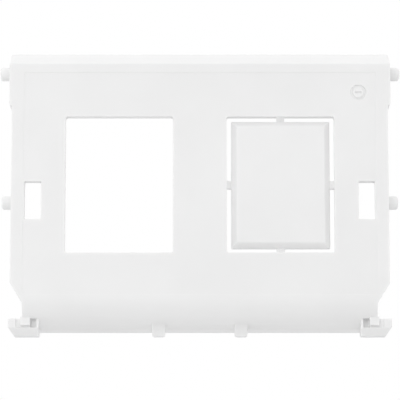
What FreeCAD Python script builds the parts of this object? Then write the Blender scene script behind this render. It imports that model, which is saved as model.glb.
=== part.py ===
import FreeCAD, Part
import math
import os
import Sketcher

# Insert plate of a two-port data wall socket, moulded in one piece.
# The front wall carries one open jack port and one port closed by a blank that breaks out.
# Round pegs on the side cheeks snap into a carrier frame, and hooks along the foot locate the plate.
# Built with its front at Y = 0, its back towards +Y and its hooks standing on Z = 0.

# Driving sizes in millimetres: cell name, value and what it measures.
SIZES = (
    ("overall_height", 40.15, "underside of the hooks to the top"),
    ("plate_depth", 8.0, "front face to rear rim"),
    ("wall", 1.6, "thickness of the front, top and bottom walls"),
    ("top_bevel_depth", 3.0, "how far back the bevel along the top edge reaches"),
    ("top_bevel_height", 1.95, "height of that bevel"),
    ("bevel_round", 0.4, "radius of the two edges of that bevel"),
    ("bottom_round", 4.3, "outer radius where the front turns into the bottom"),
    ("hook_drop", 1.05, "how far the hooks reach below the bottom wall"),
    ("body_width", 49.2, "width of the plate between its side strips"),
    ("strip_width", 1.7, "width of the strip in front of a side cheek"),
    ("cheek_wall", 1.1, "thickness of a side cheek"),
    ("pad_proud", 0.4, "how far the top of a cheek stands out sideways"),
    ("pad_height", 8.0, "height of that thicker top of a cheek"),
    ("corner_round", 0.35, "radius of the two top corners seen from the front"),
    ("cheek_foot", 4.35, "height at which the slanted end of a cheek starts"),
    ("slant_rise", 2.8, "height of the slanted end"),
    ("panel_depth", 0.05, "depth of the shallow panel that fills the front"),
    ("panel_head", 1.3, "distance from the bevel along the top down to that panel"),
    ("panel_foot", 0.2, "distance from the rounded bottom up to that panel"),
    ("port_width", 15.0, "width of a jack port"),
    ("port_height", 19.2, "height of a jack port"),
    ("port_corner", 0.3, "corner radius of a jack port"),
    ("port_pitch", 22.5, "distance between the centres of the ports"),
    ("port_level", 21.0, "height of the port centres"),
    ("blank_gap", 0.62, "gap between the blank and the edge of its port"),
    ("blank_bevel", 0.8, "depth of the even bevel around the front of the blank"),
    ("blank_round", 0.6, "radius where the front of the blank turns into its bevel"),
    ("web_width", 1.1, "width of a break-off web"),
    ("web_lead", 0.15, "depth of a web at the edge of the port, from where it slopes back to the blank"),
    ("slot_width", 2.3, "width of the slot that lets a cheek flex"),
    ("slot_height", 5.3, "height of that slot"),
    ("slot_inset", 0.2, "distance of that slot from the side of the body"),
    ("peg_diameter", 1.9, "diameter of a snap peg"),
    ("peg_span", 1.42, "how far a peg spans from its cheek to its tip"),
    ("peg_depth", 2.6, "distance from the front face to the axis of a peg"),
    ("peg_lead", 0.25, "chamfer on the tip of a peg"),
    ("upper_peg_level", 3.0, "how far the upper pegs lie below the top"),
    ("lower_peg_level", 18.75, "height of the lower pegs and of the slots beside them"),
    ("foot_span", 2.0, "how far a corner hook spans past the side of the body"),
    ("foot_width", 4.3, "width of a corner hook"),
    ("foot_height", 2.35, "height of a corner hook"),
    ("foot_front", 1.3, "distance from the front face to the front of a corner hook"),
    ("foot_length", 3.0, "length of a corner hook from front to back"),
    ("foot_bevel_width", 0.8, "width of the bevel on the outer lower corner of a hook"),
    ("foot_bevel_height", 1.2, "height of that bevel"),
    ("nose_height", 1.1, "height of the slope under the front of a hook, up to its nose"),
    ("nose_length", 0.9, "length of that slope"),
    ("block_width", 1.1, "width of the block at the outer end of a hook"),
    ("recess_depth", 0.25, "depth of the recess between that block and the pocket"),
    ("tab_start", 1.2, "distance from a hook's inner end to its tab"),
    ("tab_width", 1.35, "width of the tab, which stands in the recess"),
    ("tab_gap", 0.28, "gap between the nose and the tab above it"),
    ("tab_proud", 0.25, "how far the tab stands out of the front of its hook"),
    ("pocket_start", 0.35, "distance from a hook's inner end to its pocket"),
    ("pocket_depth", 0.8, "depth of the pocket beside the tab"),
    ("lug_pitch", 11.46, "distance between the two middle lugs"),
    ("lug_width", 1.8, "width of a lug"),
    ("lug_height", 2.0, "height of a lug"),
    ("lug_front", 1.75, "distance from the front face to the front of a lug"),
    ("lug_length", 2.5, "length of a lug from front to back"),
    ("lug_slope", 1.1, "how far the front of a lug runs back on its way down"),
    ("lug_round", 0.35, "radius of the lower corners of a lug"),
    ("mark_offset", 2.4, "distance of the mould mark from the side of the body"),
    ("mark_level", 6.1, "how far the mould mark lies below the top"),
    ("mark_diameter", 2.2, "outer diameter of the ring of the mould mark"),
    ("mark_ring", 0.35, "width of that ring"),
    ("mark_pointer", 0.9, "length of the plain bar inside the ring"),
    ("mark_stroke", 0.26, "width of that bar"),
    ("mark_depth", 0.2, "depth of the mould mark"),
)

NODE = "insert_plate"
SIDES = (-1, 1)
TOUCHING = 1e-6
DIAGONAL = math.sqrt(0.5)
SOFT_START = math.tan(math.radians(22.5))


class Length:
    """A length in millimetres that also carries its formula in the sheet of sizes."""

    def __init__(self, number, formula):
        self.number = number
        self.formula = formula

    def joined(self, sign, other, number):
        return Length(number, f"({self.formula} {sign} {other.formula})")

    def __add__(self, other):
        return self.joined("+", other, self.number + other.number)

    def __sub__(self, other):
        return self.joined("-", other, self.number - other.number)

    def __neg__(self):
        return Length(-self.number, f"(-1 * {self.formula})")

    def __mul__(self, factor):
        return Length(self.number * factor, f"({self.formula} * {factor})")

    def __truediv__(self, divisor):
        return Length(self.number / divisor, f"({self.formula} / {divisor})")


ZERO = Length(0.0, "0")


def make_sheet(doc):
    """Writes the driving sizes to a sheet and gives each one back as a named length."""
    sheet = doc.addObject("Spreadsheet::Sheet", "sizes")
    lengths = {}
    for row, (name, value, note) in enumerate(SIZES, start=1):
        sheet.set(f"A{row}", name)
        sheet.set(f"B{row}", str(value))
        sheet.set(f"C{row}", note)
        sheet.setAlias(f"B{row}", name)
        lengths[name] = Length(value, f"sizes.{name}")
    doc.recompute()
    return lengths


def plane_sketch(body, role, name, offset=None):
    """An empty sketch on one of the body's origin planes, moved along its normal by the offset."""
    sketch = body.newObject("Sketcher::SketchObject", name)
    plane = next(item for item in body.Origin.OriginFeatures if item.Role == role)
    sketch.AttachmentSupport = [(plane, "")]
    sketch.MapMode = "FlatFace"
    if offset is not None:
        sketch.setExpression("AttachmentOffset.Base.z", offset.formula)
    return sketch


def bind(sketch, constraint, length):
    """Adds a dimension to the sketch and ties it to the length's formula."""
    index = sketch.addConstraint(constraint)
    sketch.setExpression(f"Constraints[{index}]", length.formula)


def place_point(sketch, geometry, end, point):
    """Ties both coordinates of a sketch point to their formulas."""
    across, up = point
    bind(sketch, Sketcher.Constraint("DistanceX", -1, 1, geometry, end, across.number), across)
    bind(sketch, Sketcher.Constraint("DistanceY", -1, 1, geometry, end, up.number), up)


def arc_between(start, end, radius, turn):
    """The short arc from start to end, turning left where turn is 1 and right where it is -1."""
    chord = end - start
    reach = math.sqrt(max(radius ** 2 - chord.Length ** 2 / 4, 0.0))
    to_left = FreeCAD.Vector(-chord.y, chord.x, 0).normalize()
    centre = (start + end) / 2 + to_left * (reach * turn)
    first, last = (start, end) if turn > 0 else (end, start)
    angles = [math.atan2(point.y - centre.y, point.x - centre.x) for point in (first, last)]
    if angles[1] < angles[0]:
        angles[1] += 2 * math.pi
    circle = Part.Circle(centre, FreeCAD.Vector(0, 0, 1), radius)
    return Part.ArcOfCircle(circle, *angles)


def outline(sketch, points, arcs=None):
    """A closed loop through the points; arcs maps the number of a span to its radius and turn."""
    arcs = arcs or {}
    seeds = [FreeCAD.Vector(across.number, up.number, 0) for across, up in points]
    ends = []
    for number, seed in enumerate(seeds):
        following = seeds[(number + 1) % len(seeds)]
        if number in arcs:
            radius, turn = arcs[number]
            geometry = sketch.addGeometry(arc_between(seed, following, radius.number, turn), False)
            ends.append((geometry, 1, 2) if turn > 0 else (geometry, 2, 1))
        else:
            ends.append((sketch.addGeometry(Part.LineSegment(seed, following), False), 1, 2))
    for number, (geometry, start, finish) in enumerate(ends):
        after, after_start, _ = ends[(number + 1) % len(ends)]
        sketch.addConstraint(Sketcher.Constraint("Coincident", geometry, finish, after, after_start))
    for number, (geometry, start, _) in enumerate(ends):
        place_point(sketch, geometry, start, points[number])
        if number in arcs:
            radius = arcs[number][0]
            bind(sketch, Sketcher.Constraint("Radius", geometry, radius.number), radius)


def rectangle(sketch, left, right, low, high):
    """A plain rectangle between two positions across and two up."""
    outline(sketch, [(left, low), (right, low), (right, high), (left, high)])


def circle(sketch, centre, diameter):
    """A full circle about a point."""
    seed = FreeCAD.Vector(centre[0].number, centre[1].number, 0)
    geometry = sketch.addGeometry(Part.Circle(seed, FreeCAD.Vector(0, 0, 1), diameter.number / 2), False)
    place_point(sketch, geometry, 3, centre)
    bind(sketch, Sketcher.Constraint("Diameter", geometry, diameter.number), diameter)


def extrude(body, kind, name, sketch, length, symmetric=False):
    """Pads or pockets the sketch towards the back, or evenly both ways, and checks that it took."""
    before = body.Shape.Volume if body.Tip else 0.0
    feature = body.newObject(f"PartDesign::{kind}", name)
    feature.Profile = sketch
    feature.SideType = "Symmetric" if symmetric else "One side"
    feature.Reversed = kind == "Pad" and not symmetric
    feature.setExpression("Length", length.formula)
    body.Document.recompute()
    change = body.Shape.Volume - before
    if (change <= 0) == (kind == "Pad"):
        raise RuntimeError(f"{name} changed the volume by {change:.3f} mm3")
    return feature


def edge_names(feature, fits):
    """The names of the edges of a feature whose boxes fit."""
    numbered = enumerate(feature.Shape.Edges, start=1)
    return [f"Edge{number}" for number, edge in numbered if fits(edge.BoundBox)]


def level_edges(feature, place):
    """The edges that run from side to side at this place in the side view."""
    back, up = place
    return edge_names(feature, lambda box: (box.YLength < TOUCHING and box.ZLength < TOUCHING
                                            and abs(box.YMin - back.number) < TOUCHING
                                            and abs(box.ZMin - up.number) < TOUCHING))


def upright_edges(feature, reach):
    """The edges that lie in the two upright planes at this reach to the left and right."""
    return edge_names(feature, lambda box: (box.XLength < TOUCHING
                                            and abs(abs(box.XMin) - reach.number) < TOUCHING))


def lower_edges(feature, centre, reach):
    """The two edges on the underside that run to the back at this reach from a centre."""
    return edge_names(feature, lambda box: (box.XLength < TOUCHING and box.ZMax < TOUCHING
                                            and abs(abs(box.XMin - centre.number) - reach.number) < TOUCHING))


def make_block(body, s):
    """The outer block: front, bevelled top and rounded bottom, as wide as the pads of the cheeks."""
    top, low = s["overall_height"], s["hook_drop"]
    sketch = plane_sketch(body, "YZ_Plane", "side_profile")
    points = [
        (s["plate_depth"], top),
        (s["top_bevel_depth"], top),
        (ZERO, top - s["top_bevel_height"]),
        (ZERO, low + s["bottom_round"]),
        (s["bottom_round"], low),
        (s["plate_depth"], low),
    ]
    outline(sketch, points, {3: (s["bottom_round"], 1)})
    block = extrude(body, "Pad", "block", sketch, half_widths(s)["pad"] * 2, symmetric=True)
    back_edge, front_edge = points[1:3]
    fillet = body.newObject("PartDesign::Fillet", "bevel_edges")
    fillet.Base = (block, level_edges(block, back_edge) + level_edges(block, front_edge))
    fillet.setExpression("Radius", s["bevel_round"].formula)
    body.Document.recompute()


def half_widths(s):
    """Half of each width that the plate has at its sides."""
    body_half = s["body_width"] / 2
    cheek = body_half + s["strip_width"]
    return {"body": body_half, "cheek": cheek, "pad": cheek + s["pad_proud"]}


def cut_silhouette(body, s):
    """Trims the sides: cheeks below the pads, slanted cheek ends, the narrow foot and the top corners."""
    half = half_widths(s)
    top, overshoot = s["overall_height"], s["wall"]
    step = top - s["pad_height"]
    outside = half["pad"] + overshoot
    sketch = plane_sketch(body, "XZ_Plane", "silhouette")
    for side in SIDES:
        flank = [
            (half["cheek"] * side, step),
            (half["cheek"] * side, s["cheek_foot"] + s["slant_rise"]),
            (half["body"] * side, s["cheek_foot"]),
            (half["body"] * side, -overshoot),
            (outside * side, -overshoot),
            (outside * side, step + s["pad_proud"]),
            (half["pad"] * side, step + s["pad_proud"]),
        ]
        outline(sketch, flank, {6: (s["pad_proud"], -side)})
        inner = half["pad"] - s["corner_round"]
        corner = [
            (inner * side, top),
            (half["pad"] * side, top - s["corner_round"]),
            (outside * side, top - s["corner_round"]),
            (outside * side, top + overshoot),
            (inner * side, top + overshoot),
        ]
        outline(sketch, corner, {0: (s["corner_round"], -side)})
    extrude(body, "Pocket", "sides_trimmed", sketch, s["plate_depth"])


def sink_panel(body, s):
    """The front is a panel that lies a hair deeper than its borders, which leaves a faint line around it."""
    half = half_widths(s)["body"]
    low = s["hook_drop"] + s["bottom_round"] + s["panel_foot"]
    high = s["overall_height"] - s["top_bevel_height"] - s["panel_head"]
    sketch = plane_sketch(body, "XZ_Plane", "panel_outline")
    rectangle(sketch, -half, half, low, high)
    extrude(body, "Pocket", "panel", sketch, s["panel_depth"])


def add_pegs(body, s):
    """Round snap pegs: rods right across the block, which the hollow later parts into four stubs."""
    half = half_widths(s)
    pairs = (
        ("upper", s["overall_height"] - s["upper_peg_level"], half["pad"]),
        ("lower", s["lower_peg_level"], half["cheek"]),
    )
    for name, level, face in pairs:
        tip = face + s["peg_span"]
        sketch = plane_sketch(body, "YZ_Plane", f"{name}_peg_circle")
        circle(sketch, (s["peg_depth"], level), s["peg_diameter"])
        pegs = extrude(body, "Pad", f"{name}_pegs", sketch, tip * 2, symmetric=True)
        chamfer = body.newObject("PartDesign::Chamfer", f"{name}_peg_tips")
        chamfer.Base = (pegs, upright_edges(pegs, tip))
        chamfer.setExpression("Size", s["peg_lead"].formula)
        body.Document.recompute()


def inner_profile(sketch, s, low_points, arcs_below):
    """The section of the hollow: bevelled at the top like the outside, closed below by the given points."""
    top = s["overall_height"]
    points = [
        (s["plate_depth"] + s["wall"], top - s["wall"]),
        (s["top_bevel_depth"], top - s["wall"]),
        (s["wall"], top - s["top_bevel_height"] - s["wall"] / 2),
    ]
    arcs = {len(points) + number: arc for number, arc in arcs_below.items()}
    outline(sketch, points + low_points, arcs)


def cut_hollow(body, s):
    """Opens the back: full height between the end walls, and up to the cheeks above their slanted ends."""
    open_back = s["plate_depth"] + s["wall"]
    floor = s["hook_drop"] + s["wall"]
    curve_top = s["hook_drop"] + s["bottom_round"]
    inner_round = s["bottom_round"] - s["wall"]
    between_ends = plane_sketch(body, "YZ_Plane", "hollow_section")
    rounded_floor = [(s["wall"], curve_top), (s["bottom_round"], floor), (open_back, floor)]
    inner_profile(between_ends, s, rounded_floor, {0: (inner_round, 1)})
    extrude(body, "Pocket", "hollow", between_ends, s["body_width"] - s["wall"] * 2, symmetric=True)
    ledge = s["cheek_foot"] + s["slant_rise"]
    between_cheeks = plane_sketch(body, "YZ_Plane", "cheek_section")
    inner_profile(between_cheeks, s, [(s["wall"], ledge), (open_back, ledge)], {})
    inner_width = (half_widths(s)["cheek"] - s["cheek_wall"]) * 2
    extrude(body, "Pocket", "cheeks_thinned", between_cheeks, inner_width, symmetric=True)


def port_edges(s, side):
    """Left, right, low and high edges of the port on one side."""
    centre = s["port_pitch"] / 2 * side
    return (centre - s["port_width"] / 2, centre + s["port_width"] / 2,
            s["port_level"] - s["port_height"] / 2, s["port_level"] + s["port_height"] / 2)


def cut_open_port(body, s):
    """The open port on the left: a plain window with small corner radii."""
    left, right, low, high = port_edges(s, -1)
    r = s["port_corner"]
    sketch = plane_sketch(body, "XZ_Plane", "open_port_outline")
    points = [
        (left + r, low), (right - r, low), (right, low + r), (right, high - r),
        (right - r, high), (left + r, high), (left, high - r), (left, low + r),
    ]
    outline(sketch, points, {span: (r, 1) for span in (1, 3, 5, 7)})
    extrude(body, "Pocket", "open_port", sketch, s["wall"] * 2)


def cut_blank_gap(body, s):
    """The closed port: four corner-shaped gaps leave the blank on a web in the middle of each side."""
    centre, level = s["port_pitch"] / 2, s["port_level"]
    half_width, half_height = s["port_width"] / 2, s["port_height"] / 2
    r, gap, half_web = s["port_corner"], s["blank_gap"], s["web_width"] / 2
    sketch = plane_sketch(body, "XZ_Plane", "blank_gap_outline")
    for side in SIDES:
        for rise in SIDES:
            reach = [
                (half_web, half_height),
                (half_width - r, half_height),
                (half_width, half_height - r),
                (half_width, half_web),
                (half_width - gap, half_web),
                (half_width - gap, half_height - gap),
                (half_web, half_height - gap),
            ]
            points = [(centre + across * side, level + up * rise) for across, up in reach]
            outline(sketch, points, {1: (r, -side * rise)})
    extrude(body, "Pocket", "blank_gap_cut", sketch, s["wall"] * 2)


def slope_webs(body, s):
    """The webs slope back from the edge of the port to the foot of the blank's bevel, where they break."""
    left, right, low, high = port_edges(s, 1)
    gap, lead, in_front = s["blank_gap"], s["web_lead"], -s["wall"]
    foot = s["panel_depth"] + s["blank_bevel"]
    level_cuts = plane_sketch(body, "YZ_Plane", "web_level_slopes", s["port_pitch"] / 2)
    upright_cuts = plane_sketch(body, "XY_Plane", "web_upright_slopes", s["port_level"])
    for edge, blank_edge in ((low, low + gap), (high, high - gap)):
        outline(level_cuts, [(in_front, edge), (lead, edge), (foot, blank_edge), (in_front, blank_edge)])
    for edge, blank_edge in ((left, left + gap), (right, right - gap)):
        outline(upright_cuts, [(edge, in_front), (edge, lead), (blank_edge, foot), (blank_edge, in_front)])
    width = s["web_width"] + gap
    extrude(body, "Pocket", "webs_sloped_level", level_cuts, width, symmetric=True)
    extrude(body, "Pocket", "webs_sloped_upright", upright_cuts, width, symmetric=True)


def bevel_blank(body, s):
    """Bevels the blank all round, first the upper and lower edges, then the two sides, with a soft start."""
    centre, level = s["port_pitch"] / 2, s["port_level"]
    r, gap, front, in_front = s["blank_round"], s["blank_gap"], s["panel_depth"], -s["wall"]
    width, height = s["port_width"] - gap * 2, s["port_height"] - gap * 2
    level_cuts = plane_sketch(body, "YZ_Plane", "blank_level_bevels", centre)
    upright_cuts = plane_sketch(body, "XY_Plane", "blank_upright_bevels", level)
    foot = front + s["blank_bevel"]
    lead = r * SOFT_START
    turned = front + lead * DIAGONAL
    for side in SIDES:
        flat, bevel, edge = bevel_stations(s, height / 2, lead, side)
        points = [(front, flat), (in_front, flat), (in_front, edge), (foot, edge), (turned, bevel)]
        outline(level_cuts, [(back, level + up) for back, up in points], {4: (r, side)})
        flat, bevel, edge = bevel_stations(s, width / 2, lead, side)
        points = [(flat, front), (flat, in_front), (edge, in_front), (edge, foot), (bevel, turned)]
        outline(upright_cuts, [(centre + across, back) for across, back in points], {4: (r, -side)})
    extrude(body, "Pocket", "blank_bevelled_level", level_cuts, width + gap, symmetric=True)
    extrude(body, "Pocket", "blank_bevelled_upright", upright_cuts, height + gap, symmetric=True)


def bevel_stations(s, half, lead, side):
    """Where the flat front ends, where the straight bevel starts and where the blank ends, on one side."""
    crease = half - s["blank_bevel"]
    return (crease - lead) * side, (crease + lead * DIAGONAL) * side, half * side


def cut_slots(body, s):
    """A slot through the front wall beside each lower peg, so that the strip and its cheek can flex."""
    outer = s["body_width"] / 2 - s["slot_inset"]
    half_height = s["slot_height"] / 2
    sketch = plane_sketch(body, "XZ_Plane", "slot_outline")
    for side in SIDES:
        rectangle(sketch, (outer - s["slot_width"]) * side, outer * side,
                  s["lower_peg_level"] - half_height, s["lower_peg_level"] + half_height)
    extrude(body, "Pocket", "slots", sketch, s["wall"] * 2)


def add_corner_hooks(body, s):
    """A hook under each lower corner, sloped below its nose, with a pocket and a tab in a shallow recess."""
    outer = half_widths(s)["body"] + s["foot_span"]
    inner = outer - s["foot_width"]
    front, top, nose, proud = s["foot_front"], s["foot_height"], s["nose_height"], s["tab_proud"]
    hooks = plane_sketch(body, "XZ_Plane", "hook_outline", -front)
    slopes = plane_sketch(body, "YZ_Plane", "nose_section")
    recesses = plane_sketch(body, "XZ_Plane", "recess_outline")
    pockets = plane_sketch(body, "XZ_Plane", "pocket_outline")
    tabs = plane_sketch(body, "XZ_Plane", "tab_outline", proud - front)
    outline(slopes, [(front, nose), (front - s["nose_length"], ZERO), (front + s["nose_length"], ZERO)])
    for side in SIDES:
        points = [
            (inner, ZERO),
            (outer - s["foot_bevel_width"], ZERO),
            (outer, s["foot_bevel_height"]),
            (outer, top),
            (inner, top),
        ]
        outline(hooks, [(across * side, up) for across, up in points])
        tab = inner + s["tab_start"]
        rectangle(recesses, tab * side, (outer - s["block_width"]) * side, nose, top)
        rectangle(pockets, (inner + s["pocket_start"]) * side, tab * side, nose, top)
        rectangle(tabs, tab * side, (tab + s["tab_width"]) * side, nose + s["tab_gap"], top + proud)
    extrude(body, "Pad", "hooks", hooks, s["foot_length"])
    extrude(body, "Pocket", "noses_sloped", slopes, outer * 2, symmetric=True)
    extrude(body, "Pocket", "recesses", recesses, front + s["recess_depth"])
    extrude(body, "Pocket", "pockets", pockets, front + s["pocket_depth"])
    extrude(body, "Pad", "tabs", tabs, proud + s["recess_depth"] * 2)


def add_lugs(body, s):
    """Two middle lugs under the foot, with a sloping front and rounded lower corners."""
    front, top = s["lug_front"], s["lug_height"]
    back = front + s["lug_length"]
    for name, side in (("left", -1), ("right", 1)):
        centre = s["lug_pitch"] / 2 * side
        sketch = plane_sketch(body, "YZ_Plane", f"{name}_lug_profile", centre)
        outline(sketch, [(front, top), (front + s["lug_slope"], ZERO), (back, ZERO), (back, top)])
        lug = extrude(body, "Pad", f"{name}_lug", sketch, s["lug_width"], symmetric=True)
        corners = body.newObject("PartDesign::Fillet", f"{name}_lug_corners")
        corners.Base = (lug, lower_edges(lug, centre, s["lug_width"] / 2))
        corners.setExpression("Radius", s["lug_round"].formula)
        body.Document.recompute()


def engrave_mark(body, s):
    """A plain mould mark near the upper right corner: a ring around a short bar, without lettering."""
    across, up = half_widths(s)["body"] - s["mark_offset"], s["overall_height"] - s["mark_level"]
    half_bar, half_stroke = s["mark_pointer"] / 2, s["mark_stroke"] / 2
    sketch = plane_sketch(body, "XZ_Plane", "mark_outline")
    circle(sketch, (across, up), s["mark_diameter"])
    circle(sketch, (across, up), s["mark_diameter"] - s["mark_ring"] * 2)
    rectangle(sketch, across - half_bar, across + half_bar, up - half_stroke, up + half_stroke)
    extrude(body, "Pocket", "mark", sketch, s["panel_depth"] + s["mark_depth"])


def make_insert_plate(doc, s):
    """The whole plate, with its origin at the middle of the rear rim's plane."""
    body = doc.addObject("PartDesign::Body", NODE)
    body.Label = NODE
    make_block(body, s)
    cut_silhouette(body, s)
    sink_panel(body, s)
    add_pegs(body, s)
    cut_hollow(body, s)
    cut_open_port(body, s)
    cut_blank_gap(body, s)
    slope_webs(body, s)
    bevel_blank(body, s)
    cut_slots(body, s)
    add_corner_hooks(body, s)
    add_lugs(body, s)
    engrave_mark(body, s)
    body.setExpression("Placement.Base.y", (-s["plate_depth"]).formula)
    body.setExpression("Placement.Base.z", (-s["overall_height"] / 2).formula)
    doc.recompute()
    return body


def check(doc, body):
    """Stops if any object failed, or if the plate isn't one valid solid."""
    failed = [item.Name for item in doc.Objects if {"Invalid", "Error"} & set(item.State)]
    if failed:
        raise RuntimeError(f"failed objects: {failed}")
    if body.Shape.isNull() or not body.Shape.isValid() or len(body.Shape.Solids) != 1:
        raise RuntimeError("the plate isn't one valid solid")


doc = FreeCAD.newDocument("insert_plate")
sizes = make_sheet(doc)
plate = make_insert_plate(doc, sizes)
check(doc, plate)
os.makedirs("parts", exist_ok=True)
plate.Shape.exportStep(f"parts/{plate.Label}.step")
box = plate.Shape.BoundBox
extent = " x ".join(f"{length:.2f}" for length in (box.XLength, box.YLength, box.ZLength))
print(f"{plate.Label}: {extent} mm, {plate.Shape.Volume:.1f} mm3")
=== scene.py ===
# %% [markdown]
# # The insert plate of a two-port data wall socket
#
# The object is one white injection moulding. It snaps into a carrier frame on the wall and holds the
# jacks: its left port is open, and its right port is closed by a blank that breaks out.
#
# The solid model arrives as a fixed frame, in metres, with its place in its mesh. This lesson dresses
# it: it gives the moulding its soft edges, a plastic finish, light and a camera. Nothing here moves or
# resizes the part.

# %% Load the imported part
import math
from collections import Counter, defaultdict
from itertools import combinations

import bmesh
import bpy
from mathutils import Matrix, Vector
from mathutils.geometry import intersect_point_line


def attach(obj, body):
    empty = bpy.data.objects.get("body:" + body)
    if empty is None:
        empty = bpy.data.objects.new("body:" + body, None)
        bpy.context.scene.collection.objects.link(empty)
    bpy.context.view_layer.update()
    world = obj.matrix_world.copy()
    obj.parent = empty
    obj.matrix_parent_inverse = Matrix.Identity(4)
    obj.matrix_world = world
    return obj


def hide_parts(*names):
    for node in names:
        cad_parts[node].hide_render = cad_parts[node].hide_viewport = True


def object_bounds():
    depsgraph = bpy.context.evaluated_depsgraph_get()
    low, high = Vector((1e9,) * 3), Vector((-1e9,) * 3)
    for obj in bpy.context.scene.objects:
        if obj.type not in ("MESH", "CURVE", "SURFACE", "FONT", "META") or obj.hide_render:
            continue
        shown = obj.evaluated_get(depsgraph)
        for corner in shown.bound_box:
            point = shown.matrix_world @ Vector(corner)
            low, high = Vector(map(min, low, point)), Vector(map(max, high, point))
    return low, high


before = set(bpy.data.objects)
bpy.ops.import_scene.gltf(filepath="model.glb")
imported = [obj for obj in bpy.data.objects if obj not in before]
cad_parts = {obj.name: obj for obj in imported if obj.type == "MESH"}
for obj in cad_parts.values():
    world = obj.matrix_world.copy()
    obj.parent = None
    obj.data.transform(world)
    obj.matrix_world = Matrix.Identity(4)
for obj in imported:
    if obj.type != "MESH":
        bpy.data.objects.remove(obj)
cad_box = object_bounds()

MM = 0.001
low, high = cad_box
width, depth, height = (high - low) / MM
print(f"frame: {sorted(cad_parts)}, {width:.1f} x {depth:.1f} x {height:.1f} mm")

# %% [markdown]
# ## The moulding
#
# On the real plate every edge is a little rounded, because the steel of the mould is, and those
# roundings are what catches the light. The solid has knife edges, and its mesh is loose triangles, so
# it can't carry a bevel as it is.
#
# It could be modelled again from a cube, but that would only copy sizes that the solid already holds.
# So a copy of its mesh is used: the triangles are merged into one skin, and flat regions are dissolved
# into single faces. The limit of 5 degrees also takes in the slivers that the mesher leaves beside a
# curve, and keeps the curve's facets.

# %% Copy the solid's mesh and merge it into one skin
NODE = "insert_plate"
MERGE_DISTANCE = 0.001 * MM
FLAT_WITHIN = math.radians(5)


def select_only(piece):
    """Deselects everything, then selects one object and makes it the active one."""
    bpy.ops.object.select_all(action="DESELECT")
    piece.select_set(True)
    bpy.context.view_layer.objects.active = piece


plate = bpy.data.objects.new("moulded_insert_plate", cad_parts[NODE].data.copy())
bpy.context.scene.collection.objects.link(plate)
plate.data.materials.clear()
select_only(plate)
bpy.ops.object.mode_set(mode="EDIT")
bpy.ops.mesh.select_all(action="SELECT")
bpy.ops.mesh.remove_doubles(threshold=MERGE_DISTANCE)
bpy.ops.mesh.dissolve_limited(angle_limit=FLAT_WITHIN)
bpy.ops.object.mode_set(mode="OBJECT")
print(f"merged skin: {len(plate.data.vertices)} vertices, {len(plate.data.polygons)} faces")

# %% [markdown]
# ## The rounded edges
#
# A bevel along all sharp edges rounds them as the mould does. One width for all of them would be
# simplest, but the plate has steps and webs a few tenths of a millimetre high, and a bevel that is
# wider than the strip it lies on folds over itself and renders black. So each seam between two faces
# gets a weight: the full rounding where there is room, and less beside narrow faces. The weight is the
# same all along a seam, so that the rounding doesn't taper.
#
# Shallow corners, such as the kinks of the side cheeks, stay unrounded. They are only marked as
# creases, so that the shading doesn't smear over them.

# %% Find the sharp edges, and the smooth regions between them
SHARP_OVER = math.radians(35)


def is_sharp(edge):
    """True where two faces meet at an edge, and not in the facets of a curve."""
    return edge.calc_face_angle() > SHARP_OVER


def smooth_regions(skin):
    """Gives each face the number of its region: the faces that meet without a sharp edge between them."""
    region = {}
    for seed in skin.faces:
        if seed in region:
            continue
        region[seed] = len(set(region.values()))
        waiting = [seed]
        while waiting:
            face = waiting.pop()
            for edge in face.edges:
                for neighbour in edge.link_faces:
                    if neighbour not in region and not is_sharp(edge):
                        region[neighbour] = region[seed]
                        waiting.append(neighbour)
    return region


def region_widths(region):
    """The mean width of each region, taken as a strip: twice its area over its sharp border."""
    area, border = Counter(), Counter()
    for face, number in region.items():
        area[number] += face.calc_area()
        border[number] += sum(edge.calc_length() for edge in face.edges if is_sharp(edge))
    return {number: 2 * area[number] / border[number] for number in area}


skin = bmesh.new()
skin.from_mesh(plate.data)
region = smooth_regions(skin)
widths = region_widths(region)
print(f"{len(widths)} smooth regions, the narrowest {min(widths.values()) / MM:.2f} mm wide")

# %% Measure the gaps between sharp edges that face each other
# Two edges of a face are opposed when the cosine between their directions around it is below this.
OPPOSED = -0.7


def reach(vertex, edge):
    """The distance from a vertex to an edge."""
    start, end = (corner.co for corner in edge.verts)
    share = intersect_point_line(vertex.co, start, end)[1]
    return (vertex.co - start.lerp(end, min(max(share, 0), 1))).length


def clearance(one, other):
    """The least distance between two edges that lie in one face and don't meet."""
    return min(reach(vertex, edge) for edge, far in ((one, other), (other, one)) for vertex in far.verts)


def narrow_gaps(skin):
    """The clear distance from each sharp edge, across a face, to the nearest sharp edge that faces it."""
    gap = defaultdict(lambda: math.inf)
    for face in skin.faces:
        sharp = [loop for loop in face.loops if is_sharp(loop.edge)]
        along = {loop: (loop.link_loop_next.vert.co - loop.vert.co).normalized() for loop in sharp}
        for one, other in combinations(sharp, 2):
            touching = set(one.edge.verts) & set(other.edge.verts)
            if touching or along[one].dot(along[other]) > OPPOSED:
                continue
            clear = clearance(one.edge, other.edge)
            gap[one.edge] = min(gap[one.edge], clear)
            gap[other.edge] = min(gap[other.edge], clear)
    return gap


gap = narrow_gaps(skin)
print(f"{len(gap)} edges face another one, the nearest {min(gap.values()) / MM:.2f} mm away")

# %% Weigh the sharp edges by the room beside them
EDGE_ROUND = 0.11 * MM
CREASED_OVER = math.radians(30)
# The least width of a region, a facet and a gap beside an edge, as multiples of its rounding.
REGION_PER_ROUND = 3.0
FACET_PER_ROUND = 1.5
GAP_PER_ROUND = 2.5


def seam_of(edge, region):
    """The seam that an edge belongs to: the two regions that meet in it."""
    return frozenset(region[face] for face in edge.link_faces)


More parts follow.
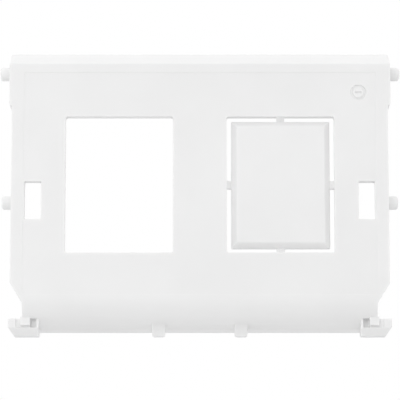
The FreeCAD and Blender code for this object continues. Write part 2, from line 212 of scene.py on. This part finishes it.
def seam_room(skin, region, widths, gap):
    """The share of the full rounding that fits along each seam."""
    room = defaultdict(lambda: 1.0)
    for edge in filter(is_sharp, skin.edges):
        seam = seam_of(edge, region)
        facet = min(face.calc_area() / edge.calc_length() for face in edge.link_faces) / FACET_PER_ROUND
        narrowest = min(widths[number] for number in seam) / REGION_PER_ROUND
        room[seam] = min(room[seam], min(facet, narrowest, gap[edge] / GAP_PER_ROUND) / EDGE_ROUND)
    return room


room = seam_room(skin, region, widths, gap)
weight = skin.edges.layers.float.new("bevel_weight_edge")
for edge in filter(is_sharp, skin.edges):
    edge[weight] = room[seam_of(edge, region)]
for edge in skin.edges:
    edge.smooth = edge.calc_face_angle() < CREASED_OVER or is_sharp(edge)
print(f"{len(room)} seams, solid skin of {skin.calc_volume() / MM ** 3:.1f} mm3")
skin.to_mesh(plate.data)
skin.free()

# %% Round them, and keep the flat faces flat in the shading
ROUND_SEGMENTS = 3
FLAT_FACE_WEIGHT = 100


def apply_modifier(piece, kind, name, **settings):
    """Adds a modifier with these settings to the active piece and applies it."""
    modifier = piece.modifiers.new(name, kind)
    for setting, value in settings.items():
        setattr(modifier, setting, value)
    bpy.ops.object.modifier_apply(modifier=modifier.name)


apply_modifier(plate, "BEVEL", "edge_round", width=EDGE_ROUND, segments=ROUND_SEGMENTS,
               limit_method="WEIGHT", loop_slide=False, use_clamp_overlap=False)
bpy.ops.object.shade_smooth_by_angle(angle=SHARP_OVER)
apply_modifier(plate, "WEIGHTED_NORMAL", "flat_faces", weight=FLAT_FACE_WEIGHT, keep_sharp=True)
print(f"rounded skin: {len(plate.data.polygons)} faces")

# %% Check that the rounded skin is closed and doesn't fold over itself
SPECK = 0.01 * MM ** 2


def is_fold(corners):
    """True for a triangle, larger than a speck, that faces away from the face it is cut from."""
    a, b, c = (corner.vert.co for corner in corners)
    return (b - a).cross(c - a).dot(corners[0].face.normal) / 2 < -SPECK


skin = bmesh.new()
skin.from_mesh(plate.data)
open_edges = sum(not edge.is_manifold for edge in skin.edges)
folds = sum(is_fold(corners) for corners in skin.calc_loop_triangles())
print(f"{open_edges} open edges, {folds} folds, {skin.calc_volume() / MM ** 3:.1f} mm3")
skin.free()

# %% [markdown]
# ## Its place in the part
#
# The real plate is a single piece, and nothing on it moves. So the moulding rides with the part's root
# body. It could lie over the bare solid, but then both skins would show, so it stands in for that
# solid.

# %% The plate stands for its solid and rides with it
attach(plate, "root")
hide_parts(NODE)
print(f"{plate.name} rides on root in place of {NODE}")

# %% [markdown]
# ## The plastic
#
# Socket plates are moulded in opaque white plastic with a satin skin. A flat white would look like
# paper, so the finish has three layers of detail: a very faint drift of tone over the plate, as in any
# moulding, a roughness that wanders a little, and a fine grain in the relief, as spark erosion leaves
# it in the mould. Some of the light also scatters just under the surface, which softens the shade in
# narrow corners.
#
# All of it is worked out from Object coordinates, so the grain is the same size everywhere on the
# plate.

# %% Two helpers for the materials
def new_material(name):
    """A material and its Principled shader."""
    material = bpy.data.materials.new(name)
    material.use_nodes = True
    shader = next(node for node in material.node_tree.nodes if node.type == "BSDF_PRINCIPLED")
    return material, shader


def noise(tree, coordinates, size, detail):
    """A noise texture whose features are about as large as size."""
    texture = tree.nodes.new("ShaderNodeTexNoise")
    texture.inputs["Scale"].default_value = 1 / size
    texture.inputs["Detail"].default_value = detail
    tree.links.new(coordinates, texture.inputs["Vector"])
    return texture.outputs["Fac"]


# %% Make the white plastic
WHITE_DARKER = (0.845, 0.845, 0.845, 1.0)
WHITE_LIGHTER = (0.865, 0.865, 0.865, 1.0)
TONE_SPREAD = (0.35, 0.65)
TONE_SIZE = 12 * MM
SMOOTHEST = 0.40
ROUGHEST = 0.52
SATIN_SIZE = 3 * MM
GRAIN_SIZE = 0.16 * MM
GRAIN_RELIEF = 0.004 * MM
GRAIN_STRENGTH = 0.35
PLASTIC_IOR = 1.5
SCATTER_SHARE = 0.6
SCATTER_DEPTH = 0.3 * MM

plastic, shader = new_material("white_plastic")
tree = plastic.node_tree
place = tree.nodes.new("ShaderNodeTexCoord").outputs["Object"]

tone = tree.nodes.new("ShaderNodeValToRGB")
for stop, position, colour in zip(tone.color_ramp.elements, TONE_SPREAD, (WHITE_DARKER, WHITE_LIGHTER)):
    stop.position = position
    stop.color = colour
tree.links.new(noise(tree, place, TONE_SIZE, detail=3), tone.inputs["Fac"])
tree.links.new(tone.outputs["Color"], shader.inputs["Base Color"])

satin = tree.nodes.new("ShaderNodeMapRange")
satin.inputs["To Min"].default_value = SMOOTHEST
satin.inputs["To Max"].default_value = ROUGHEST
tree.links.new(noise(tree, place, SATIN_SIZE, detail=4), satin.inputs["Value"])
tree.links.new(satin.outputs["Result"], shader.inputs["Roughness"])

grain = tree.nodes.new("ShaderNodeBump")
grain.inputs["Strength"].default_value = GRAIN_STRENGTH
grain.inputs["Distance"].default_value = GRAIN_RELIEF
tree.links.new(noise(tree, place, GRAIN_SIZE, detail=2), grain.inputs["Height"])
tree.links.new(grain.outputs["Normal"], shader.inputs["Normal"])

shader.inputs["IOR"].default_value = PLASTIC_IOR
shader.inputs["Subsurface Weight"].default_value = SCATTER_SHARE
shader.inputs["Subsurface Radius"].default_value = (1.0, 1.0, 1.0)
shader.inputs["Subsurface Scale"].default_value = SCATTER_DEPTH
plate.data.materials.append(plastic)
print(f"white plastic: grain of {GRAIN_SIZE / MM:.2f} mm, roughness {SMOOTHEST:.2f} to {ROUGHEST:.2f}")

# %% [markdown]
# ## Floor and light
#
# The plate is shot in a light tent: white light from all around, a soft lamp in front of it and a
# little to its left, and a glow that comes up from the floor, so that its rounded lower edge doesn't go
# dark. A white floor could throw that light back, but a white plate would be lost on it in views from
# above. So the floor is a pale grey, and a wide lamp that the camera doesn't see lies on it. The world
# is white to the camera.

# %% Lay the floor
FLOOR_LEVEL = -65 * MM
FLOOR_SIZE = 4.0
FLOOR_GREY = (0.58, 0.58, 0.58, 1.0)
FLOOR_ROUGHNESS = 0.9
FLOOR_SPECULAR = 0.2

bpy.ops.object.select_all(action="DESELECT")
bpy.ops.mesh.primitive_plane_add(size=FLOOR_SIZE, location=(0, 0, FLOOR_LEVEL))
floor = bpy.context.object
floor.name = "floor"
paper, shader = new_material("floor_paper")
shader.inputs["Base Color"].default_value = FLOOR_GREY
shader.inputs["Roughness"].default_value = FLOOR_ROUGHNESS
shader.inputs["Specular IOR Level"].default_value = FLOOR_SPECULAR
floor.data.materials.append(paper)
print(f"floor: {FLOOR_SIZE:.0f} m square, {(low.z - FLOOR_LEVEL) / MM:.0f} mm under the plate")

# %% White surroundings, brighter behind the plate than in front of it
TENT_FRONT = 0.92
TENT_BACK = 1.23
# The light changes from one to the other between these values of a direction's Y.
FADE_FROM = -0.2
FADE_TO = 0.4
SEEN_STRENGTH = 1.0

world = bpy.data.worlds.new("light_tent")
bpy.context.scene.world = world
world.use_nodes = True
tree = world.node_tree
tent = tree.nodes["Background"]
tent.inputs["Color"].default_value = (1.0, 1.0, 1.0, 1.0)


def larger(tree, first, second):
    """A Math node that gives the larger of two values."""
    node = tree.nodes.new("ShaderNodeMath")
    node.operation = "MAXIMUM"
    tree.links.new(first, node.inputs[0])
    tree.links.new(second, node.inputs[1])
    return node.outputs[0]


direction = tree.nodes.new("ShaderNodeSeparateXYZ")
tree.links.new(tree.nodes.new("ShaderNodeTexCoord").outputs["Generated"], direction.inputs[0])
light = tree.nodes.new("ShaderNodeMapRange")
light.interpolation_type = "SMOOTHSTEP"
light.inputs["From Min"].default_value = FADE_FROM
light.inputs["From Max"].default_value = FADE_TO
light.inputs["To Min"].default_value = TENT_FRONT
light.inputs["To Max"].default_value = TENT_BACK
tree.links.new(direction.outputs["Y"], light.inputs["Value"])

ray = tree.nodes.new("ShaderNodeLightPath")
mirrored = larger(tree, ray.outputs["Is Glossy Ray"], ray.outputs["Is Transmission Ray"])
seen = larger(tree, ray.outputs["Is Camera Ray"], mirrored)
strength = tree.nodes.new("ShaderNodeMix")
strength.inputs["B"].default_value = SEEN_STRENGTH
tree.links.new(seen, strength.inputs["Factor"])
tree.links.new(light.outputs["Result"], strength.inputs["A"])
tree.links.new(strength.outputs["Result"], tent.inputs["Strength"])
bpy.context.scene.view_settings.view_transform = "Standard"
print(f"light tent: strength {TENT_FRONT} in front, {TENT_BACK} behind, {SEEN_STRENGTH} to the camera")

# %% Hang the soft lamp
LAMP_ELEVATION = math.radians(18)
LAMP_TURN = math.radians(-18)
LAMP_DISTANCE = 0.6
LAMP_SIZE = 0.36
LAMP_POWER = 0.51


def add_lamp(name, size, power):
    """A square soft lamp, which shines along its own -Z and which the camera doesn't see."""
    data = bpy.data.lights.new(name, "AREA")
    data.shape = "SQUARE"
    data.size = size
    data.energy = power
    lamp = bpy.data.objects.new(name, data)
    lamp.visible_camera = False
    bpy.context.scene.collection.objects.link(lamp)
    return lamp


level = math.cos(LAMP_ELEVATION)
toward = Vector((level * math.sin(LAMP_TURN), -level * math.cos(LAMP_TURN), math.sin(LAMP_ELEVATION)))
soft_lamp = add_lamp("soft_lamp", LAMP_SIZE, LAMP_POWER)
soft_lamp.location = (low + high) / 2 + toward * LAMP_DISTANCE
soft_lamp.rotation_euler = toward.to_track_quat("Z", "Y").to_euler()
print(f"soft lamp: {LAMP_POWER:.2f} W at {[round(value, 3) for value in soft_lamp.location]} m")

# %% Lay a glow on the floor under the plate
GLOW_SIZE = 1.2
GLOW_BACK = 0.1
GLOW_POWER = 0.86
GLOW_LIFT = 2 * MM

glow = add_lamp("floor_glow", GLOW_SIZE, GLOW_POWER)
glow.location = (0, GLOW_BACK, FLOOR_LEVEL + GLOW_LIFT)
glow.rotation_euler = (math.pi, 0, 0)
print(f"floor glow: {GLOW_POWER:.2f} W over {GLOW_SIZE:.1f} m square, shining up")

# %% [markdown]
# ## The camera
#
# The plate is seen straight from the front and a little from below, so that its hooks and lugs show
# under the rounded edge. A short lens close by would give the same width, but the plate would taper to
# the top. So the lens is long, and its focal length is written in pixels of the picture, as a fit to
# the outline gives it.

# %% Set the camera
VIEW_LEAN = math.radians(9.5)
VIEW_DISTANCE = 337 * MM
VIEW_TARGET = Vector((0.02, -8.0, -1.325)) * MM
FOCAL_PIXELS = 2424.4
PICTURE_PIXELS = 400
SENSOR_WIDTH = 36
NEAREST_SEEN = 10 * MM

camera_data = bpy.data.cameras.new("camera")
camera_data.sensor_width = SENSOR_WIDTH
camera_data.lens = FOCAL_PIXELS / PICTURE_PIXELS * SENSOR_WIDTH
camera_data.clip_start = NEAREST_SEEN
camera = bpy.data.objects.new("camera", camera_data)
bpy.context.scene.collection.objects.link(camera)
back = Vector((0, -math.cos(VIEW_LEAN), -math.sin(VIEW_LEAN)))
camera.location = VIEW_TARGET + back * VIEW_DISTANCE
camera.rotation_euler = back.to_track_quat("Z", "Y").to_euler()
bpy.context.scene.camera = camera
print(f"camera at {[round(value / MM, 1) for value in camera.location]} mm, lens {camera_data.lens:.1f} mm")
